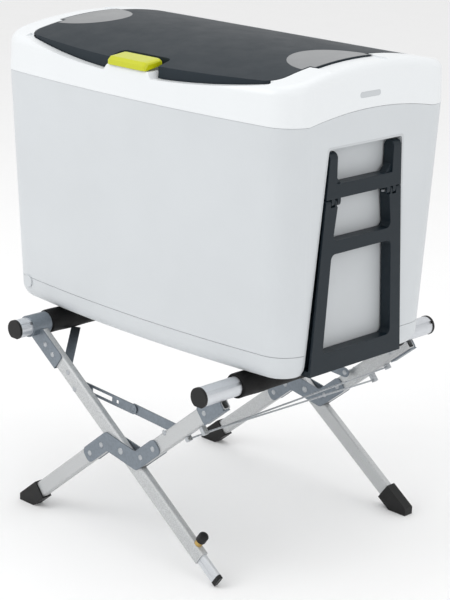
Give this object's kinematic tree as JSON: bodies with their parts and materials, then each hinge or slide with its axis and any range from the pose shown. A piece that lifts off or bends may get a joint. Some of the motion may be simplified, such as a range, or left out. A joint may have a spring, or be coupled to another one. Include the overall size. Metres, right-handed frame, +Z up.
{
  "type": "compressor cooler on folding stand",
  "caption": "Chest compressor cooler with hinged lid, lift latch and folding pull handle, standing on a folding aluminium X-frame stand.",
  "frame": {"origin": "on the floor under the middle of the object", "axes": "+Z up, +X towards the end with the pull handle, -Y towards the front with the lid latch"},
  "size_m": [0.584, 0.489, 0.736],
  "materials": {
    "shell": "satin moulded, light grey",
    "rim": "satin moulded, white",
    "tray": "satin moulded, light grey",
    "lid": "fine grained, slate",
    "inset": "smooth, mid grey",
    "latch": "smooth, lime",
    "liner": "smooth, white",
    "foam": "rigid foam",
    "gasket": "soft black",
    "steel": "plain steel",
    "zinc": "zinc plated",
    "alu": "satin extruded",
    "handle": "grained, anthracite",
    "black": "moulded black",
    "pad": "padded foam sleeve",
    "tyre": "hard tyre",
    "motor": "black enamel",
    "board": "circuit board",
    "glass": "smoked window",
    "brass": "turned",
    "badge": "blank plate"
  },
  "bodies": {
    "left_frame": {"bar_left": "alu", "sleeve_left": "pad", "bar_caps_left": "black", "straight_legs": "alu", "foot_cap_right": "black", "corner_fittings_left": "zinc", "rivets_left_frame": "steel", "plunger_bush": "brass"},
    "right_frame": {"bar_right": "alu", "sleeve_right": "pad", "bar_caps_right": "black", "split_legs": "alu", "foot_caps_left": "black", "cross_brackets": "zinc", "corner_fittings_right": "zinc", "tie_rods": "steel", "rivets_right_frame": "steel"},
    "stay_left": {"stay_links_left": "zinc"},
    "stay_right": {"stay_links_right": "zinc"},
    "foot": {"foot_tube": "alu", "foot_plug": "black"},
    "plunger_knob": {"plunger": "black"},
    "cooler": {"outer_shell": "shell", "base_tray": "tray", "handle_bay": "tray", "top_rim": "rim", "badge_plate": "badge", "latch_pin": "steel", "inner_liner": "liner", "insulation_foam": "foam", "evaporator_plate": "alu", "drain_plug": "black", "wire_basket": "steel", "compressor": "motor", "compressor_mounts": "gasket", "condenser": "alu", "fan_housing": "black", "control_board": "board", "control_panel": "black", "display_window": "glass", "dc_inlet": "black", "ac_inlet": "black", "handle_pivot_pins": "steel", "wheel_axles": "shell"},
    "lid": {"lid_shell": "lid", "lid_insets": "inset", "lid_foam": "foam", "lid_inner_panel": "liner", "lid_gasket": "gasket", "lid_hinge_pins": "steel"},
    "latch_key": {"latch": "latch"},
    "handle_top": {"handle_upper": "handle"},
    "handle_bottom": {"handle_lower": "handle", "handle_hinge_pins": "steel"},
    "front_wheel": {"wheel_front": "tyre"},
    "rear_wheel": {"wheel_rear": "tyre"},
    "fan": {"fan_rotor": "black"},
    "power_key": {"button_power": "handle"},
    "up_key": {"button_up": "handle"},
    "down_key": {"button_down": "handle"}
  },
  "joints": [
    {"name": "stand_fold", "type": "hinge", "parent": "left_frame", "child": "right_frame", "pos_m": [0.007, 0, 0.148], "axis": [0, -1, 0], "range_deg": [0, 97]},
    {"name": "cooler_lift", "type": "slide", "parent": "left_frame", "child": "cooler", "axis": [0, 0, 1], "range_m": [0, 0.36]},
    {"name": "stay_left_hinge", "type": "hinge", "parent": "left_frame", "child": "stay_left", "pos_m": [-0.097, 0, 0.214], "axis": [0, 1, 0], "range_deg": [0, 30]},
    {"name": "stay_right_hinge", "type": "hinge", "parent": "right_frame", "child": "stay_right", "pos_m": [0.095, 0, 0.202], "axis": [0, -1, 0], "range_deg": [0, 36]},
    {"name": "foot_slide", "type": "slide", "parent": "left_frame", "child": "foot", "axis": [0.8141, 0, -0.5807], "range_m": [0, 0.05]},
    {"name": "plunger_pull", "type": "slide", "parent": "left_frame", "child": "plunger_knob", "axis": [0.5807, 0, 0.8141], "range_m": [0, 0.006], "stiffness_N_per_m": 900},
    {"name": "lid_hinge", "type": "hinge", "parent": "cooler", "child": "lid", "pos_m": [0, 0.092, 0.717], "axis": [-1, 0, 0], "range_deg": [0, 85]},
    {"name": "latch_lift", "type": "hinge", "parent": "cooler", "child": "latch_key", "pos_m": [0, -0.1715, 0.71], "axis": [-1, 0, 0], "range_deg": [0, 22], "stiffness_Nm_per_rad": 0.3},
    {"name": "handle_swing", "type": "hinge", "parent": "cooler", "child": "handle_top", "pos_m": [0.28275, -0.02, 0.614], "axis": [0, -1, 0], "range_deg": [0, 100]},
    {"name": "handle_unfold", "type": "hinge", "parent": "handle_top", "child": "handle_bottom", "pos_m": [0.2865, -0.02, 0.554], "axis": [0, -1, 0], "range_deg": [0, 85]},
    {"name": "front_wheel_spin", "type": "hinge", "parent": "cooler", "child": "front_wheel", "pos_m": [-0.242, -0.132, 0.341], "axis": [0, 1, 0], "continuous": true},
    {"name": "rear_wheel_spin", "type": "hinge", "parent": "cooler", "child": "rear_wheel", "pos_m": [-0.242, 0.092, 0.341], "axis": [0, 1, 0], "continuous": true},
    {"name": "fan_spin", "type": "hinge", "parent": "cooler", "child": "fan", "pos_m": [-0.262, -0.02, 0.521], "axis": [1, 0, 0], "continuous": true},
    {"name": "power_press", "type": "slide", "parent": "cooler", "child": "power_key", "axis": [0, -1, 0], "range_m": [0, 0.0015], "stiffness_N_per_m": 300},
    {"name": "up_press", "type": "slide", "parent": "cooler", "child": "up_key", "axis": [0, -1, 0], "range_m": [0, 0.0015], "stiffness_N_per_m": 300},
    {"name": "down_press", "type": "slide", "parent": "cooler", "child": "down_key", "axis": [0, -1, 0], "range_m": [0, 0.0015], "stiffness_N_per_m": 300}
  ],
  "couplings": [
    {"joint": "cooler_lift", "follows": "stand_fold", "m_per_rad": 0.205},
    {"joint": "stay_left_hinge", "follows": "stand_fold", "ratio": 0.2845},
    {"joint": "stay_right_hinge", "follows": "stand_fold", "ratio": 0.3464}
  ]
}
